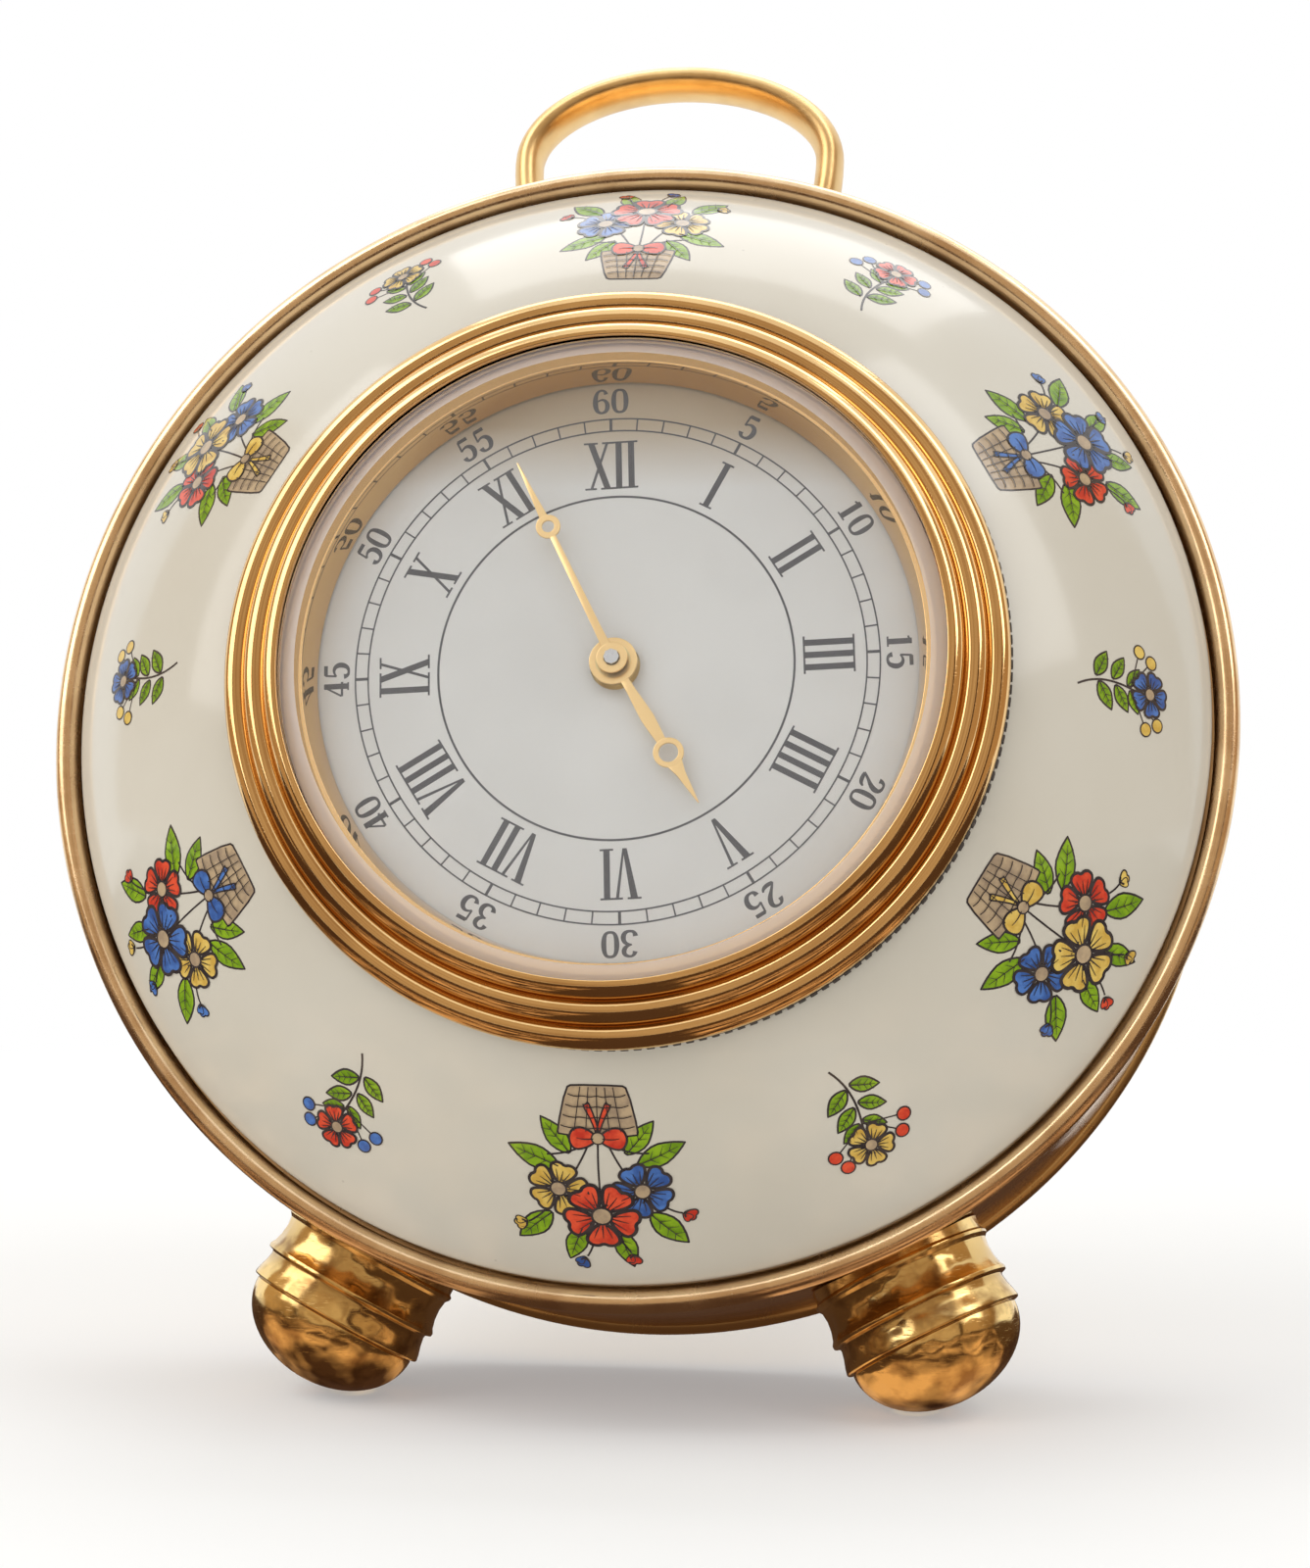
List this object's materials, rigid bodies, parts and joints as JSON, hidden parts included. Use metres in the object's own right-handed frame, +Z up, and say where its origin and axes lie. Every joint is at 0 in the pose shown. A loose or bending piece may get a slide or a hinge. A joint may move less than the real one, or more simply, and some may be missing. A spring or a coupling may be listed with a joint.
{
  "type": "desk clock",
  "caption": "Round desk clock: domed enamel case, beaded bezel, ball feet, bent handle, folding easel strut at the back, geared hands and a coin-slot battery hatch.",
  "frame": {"origin": "on the table under the middle of the clock", "axes": "+Z up; the face looks towards -Y and leans back 16 degrees; +X to the right of the face"},
  "size_m": [0.0804, 0.0862, 0.096],
  "materials": {
    "gilt": "satin",
    "polished_gilt": "gloss",
    "enamel": "gloss",
    "clear_glass": "gloss",
    "silvered": "satin",
    "hand_gilt": "gloss",
    "brass": "satin",
    "steel": "satin",
    "copper": "satin",
    "seal_rubber": "matte",
    "dark_plastic": "matte",
    "pale_plastic": "matte",
    "board": "satin"
  },
  "bodies": {
    "case": {"front_rim": "polished_gilt", "enamel_dome": "enamel", "drum_band": "gilt", "back_cover": "gilt", "back_screw_1": "steel", "back_screw_2": "steel", "back_screw_3": "steel", "foot_right": "polished_gilt", "foot_nut_right": "steel", "foot_left": "polished_gilt", "foot_nut_left": "steel", "handle": "polished_gilt", "handle_nut_left": "steel", "handle_nut_right": "steel", "strut_bracket": "gilt", "bracket_screw_1": "steel", "bracket_screw_2": "steel", "hinge_pin": "steel", "bezel": "polished_gilt", "crystal": "clear_glass", "reflector_ring": "silvered", "dial": "silvered", "insert_gasket": "seal_rubber", "movement_holder": "dark_plastic", "insert_can": "gilt", "main_plate": "dark_plastic", "movement_cover": "dark_plastic", "drive_module": "pale_plastic", "stator_core": "steel", "coil_bobbin": "pale_plastic", "coil_winding": "copper", "circuit_board": "board", "battery": "steel", "battery_contact_inner": "steel", "battery_contact_side": "steel"},
    "strut": {"strut": "gilt"},
    "battery_hatch": {"battery_hatch": "gilt"},
    "minute_train": {"cannon_arbor": "brass", "centre_wheel": "brass", "minute_hand": "hand_gilt"},
    "hour_train": {"hour_wheel": "brass", "hour_hand": "hand_gilt"},
    "minute_wheel_body": {"minute_wheel": "brass"},
    "drive_pinion_body": {"drive_pinion": "brass"},
    "setting": {"setting_shaft": "steel", "setting_knob": "dark_plastic"}
  },
  "joints": [
    {"name": "strut_fold", "type": "hinge", "parent": "case", "child": "strut", "pos_m": [0, 0.00961, 0.0657], "axis": [-1, 0, 0], "range_deg": [0, 42.2]},
    {"name": "hatch_turn", "type": "hinge", "parent": "case", "child": "battery_hatch", "pos_m": [-0.00058, -0.02104, 0.05606], "axis": [0, 0.9613, -0.2756], "range_deg": [0, 45]},
    {"name": "minute_turn", "type": "hinge", "parent": "case", "child": "minute_train", "pos_m": [0, -0.02365, 0.04694], "axis": [0, 0.9613, -0.2756], "continuous": true},
    {"name": "hour_turn", "type": "hinge", "parent": "case", "child": "hour_train", "pos_m": [0, -0.02365, 0.04694], "axis": [0, 0.9613, -0.2756], "continuous": true},
    {"name": "minute_wheel_turn", "type": "hinge", "parent": "case", "child": "minute_wheel_body", "pos_m": [0.00037, -0.0253, 0.04119], "axis": [0, 0.9613, -0.2756], "continuous": true},
    {"name": "drive_turn", "type": "hinge", "parent": "case", "child": "drive_pinion_body", "pos_m": [-0.00599, -0.02375, 0.04659], "axis": [0, 0.9613, -0.2756], "continuous": true},
    {"name": "knob_turn", "type": "hinge", "parent": "case", "child": "setting", "pos_m": [0.00073, -0.02695, 0.03543], "axis": [0, 0.9613, -0.2756], "continuous": true}
  ],
  "couplings": [
    {"joint": "hour_turn", "follows": "minute_turn", "ratio": 0.083333},
    {"joint": "minute_wheel_turn", "follows": "minute_turn", "ratio": -0.33333},
    {"joint": "drive_turn", "follows": "minute_turn", "ratio": -4},
    {"joint": "knob_turn", "follows": "minute_turn", "ratio": 1}
  ]
}
